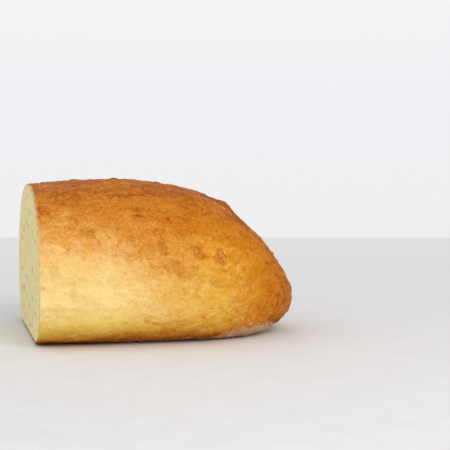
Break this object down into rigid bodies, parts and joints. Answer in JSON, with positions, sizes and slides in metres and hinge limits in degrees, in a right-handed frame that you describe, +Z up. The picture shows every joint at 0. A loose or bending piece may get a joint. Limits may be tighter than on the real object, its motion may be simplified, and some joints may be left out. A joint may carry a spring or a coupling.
{
  "type": "half oval bread loaf",
  "caption": "Half of an oval hearth-baked bread loaf: flat base, high crown with a score, rounded end, and a cut face with open pores and sunflower kernels.",
  "frame": {"origin": "on the plane of the base, under the middle of the bounding box", "axes": "+X along the loaf from the cut face to the round end, +Z up from the base, -Y is the side that shows in the picture"},
  "size_m": [0.1887, 0.1658, 0.103],
  "materials": {
    "crust": "baked wheat crust, golden brown on the crown and pale yellow low on the flanks, satin",
    "crumb": "soft yellow crumb, matte, finely porous",
    "sunflower_kernel": "toasted sunflower kernel, grey brown, matte",
    "maize_grit": "maize grit, deep yellow, satin",
    "flour": "baked-on flour dust, off-white, matte"
  },
  "bodies": {
    "root": {"half_loaf": "crust"}
  },
  "joints": []
}
